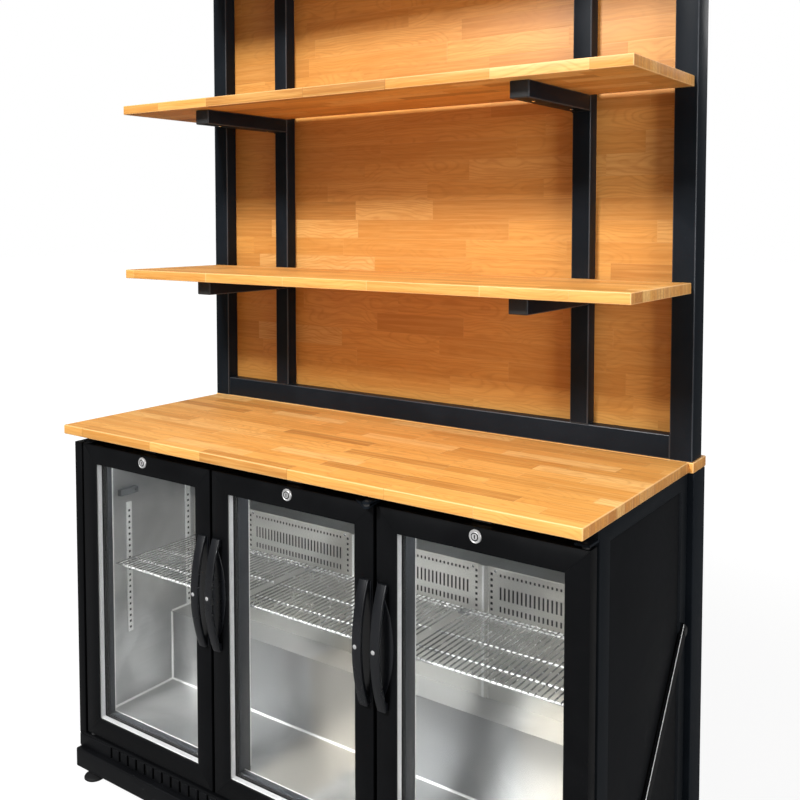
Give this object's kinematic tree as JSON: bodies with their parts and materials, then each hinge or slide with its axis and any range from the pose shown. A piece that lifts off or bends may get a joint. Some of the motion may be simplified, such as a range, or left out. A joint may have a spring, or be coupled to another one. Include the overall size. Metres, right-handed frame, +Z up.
{
  "type": "refrigerated back bar",
  "caption": "Glass-door under-counter bottle cooler with a wooden worktop and a tall black steel frame that carries wooden shelves and a back panel.",
  "frame": {"origin": "on the floor, under the centre of the unit's bounding box", "axes": "+Z up, -Y towards the person at the doors, +X to that person's right"},
  "size_m": [1.37, 0.5946, 2.13],
  "materials": {
    "wood": "oiled butcher block of short staves, satin",
    "black_steel": "black powder coat, fine texture, satin",
    "insulated_panel": "black powder-coated skins over an insulating foam core, satin",
    "liner_steel": "bright brushed stainless sheet",
    "shelf_wire": "chromed wire",
    "bright_metal": "polished plating",
    "door_black": "black coated aluminium profile, satin",
    "door_pane": "clear double glazing",
    "gasket_rubber": "soft black rubber",
    "black_plastic": "moulded black plastic, satin",
    "light_cover": "white diffuser",
    "coil_metal": "thin fins on tubes",
    "machine_black": "black enamel"
  },
  "bodies": {
    "cabinet": {"worktop_board": "wood", "rear_strip": "wood", "back_panel": "wood", "wood_shelves": "wood", "outer_posts": "black_steel", "inner_posts": "black_steel", "frame_rails": "black_steel", "shelf_arms": "black_steel", "rear_legs": "black_steel", "side_braces": "black_steel", "door_posts": "black_steel", "sill_plate": "black_steel", "louvre_panel": "black_steel", "base_frame": "black_steel", "rear_grille": "black_steel", "hinge_brackets": "black_steel", "side_walls": "insulated_panel", "top_wall": "insulated_panel", "floor_wall": "insulated_panel", "back_wall": "insulated_panel", "step_walls": "insulated_panel", "liner_sheets": "liner_steel", "fan_panels": "liner_steel", "pilasters": "liner_steel", "shelf_clips": "liner_steel", "wire_shelves": "shelf_wire", "brace_bolts": "bright_metal", "hinge_pins": "bright_metal", "lock_keepers": "bright_metal", "levelling_feet": "gasket_rubber", "temperature_probe": "black_plastic", "fan_motors": "black_plastic", "control_box": "black_plastic", "light_bar": "light_cover", "evaporator_coil": "coil_metal", "condenser_coil": "coil_metal", "compressor": "machine_black"},
    "door_left": {"door_frame_left": "door_black", "door_glass_left": "door_pane", "door_gasket_left": "gasket_rubber", "door_handle_left": "black_plastic", "lock_housing_left": "bright_metal"},
    "door_mid": {"door_frame_mid": "door_black", "door_glass_mid": "door_pane", "door_gasket_mid": "gasket_rubber", "door_handle_mid": "black_plastic", "lock_housing_mid": "bright_metal", "pivot_arms": "bright_metal"},
    "door_right": {"door_frame_right": "door_black", "door_glass_right": "door_pane", "door_gasket_right": "gasket_rubber", "door_handle_right": "black_plastic", "lock_housing_right": "bright_metal"},
    "lock_left": {"lock_plug_left": "bright_metal"},
    "lock_mid": {"lock_plug_mid": "bright_metal"},
    "lock_right": {"lock_plug_right": "bright_metal"},
    "fan_left": {"evaporator_fan_left": "black_plastic"},
    "fan_mid": {"evaporator_fan_mid": "black_plastic"},
    "fan_right": {"evaporator_fan_right": "black_plastic"},
    "fan_condenser": {"condenser_fan": "black_plastic"}
  },
  "joints": [
    {"name": "door_left_hinge", "type": "hinge", "parent": "cabinet", "child": "door_left", "pos_m": [-0.631, -0.25325, 0.474], "axis": [0, 0, -1], "range_deg": [0, 100]},
    {"name": "door_mid_hinge", "type": "hinge", "parent": "cabinet", "child": "door_mid", "pos_m": [0.237, -0.28775, 0.474], "axis": [0, 0, 1], "range_deg": [0, 90]},
    {"name": "door_right_hinge", "type": "hinge", "parent": "cabinet", "child": "door_right", "pos_m": [0.663, -0.25325, 0.474], "axis": [0, 0, 1], "range_deg": [0, 100]},
    {"name": "lock_left_turn", "type": "hinge", "parent": "door_left", "child": "lock_left", "pos_m": [-0.426, -0.26325, 0.815], "axis": [0, -1, 0], "range_deg": [0, 90]},
    {"name": "lock_mid_turn", "type": "hinge", "parent": "door_mid", "child": "lock_mid", "pos_m": [0.016, -0.26325, 0.815], "axis": [0, -1, 0], "range_deg": [0, 90]},
    {"name": "lock_right_turn", "type": "hinge", "parent": "door_right", "child": "lock_right", "pos_m": [0.458, -0.26325, 0.815], "axis": [0, -1, 0], "range_deg": [0, 90]},
    {"name": "fan_left_spin", "type": "hinge", "parent": "cabinet", "child": "fan_left", "pos_m": [-0.261, 0.09475, 0.552], "axis": [0, -1, 0], "continuous": true},
    {"name": "fan_mid_spin", "type": "hinge", "parent": "cabinet", "child": "fan_mid", "pos_m": [0.097, 0.09475, 0.552], "axis": [0, -1, 0], "continuous": true},
    {"name": "fan_right_spin", "type": "hinge", "parent": "cabinet", "child": "fan_right", "pos_m": [0.455, 0.09475, 0.552], "axis": [0, -1, 0], "continuous": true},
    {"name": "fan_condenser_spin", "type": "hinge", "parent": "cabinet", "child": "fan_condenser", "pos_m": [0.29, 0.13075, 0.166], "axis": [0, -1, 0], "continuous": true}
  ]
}
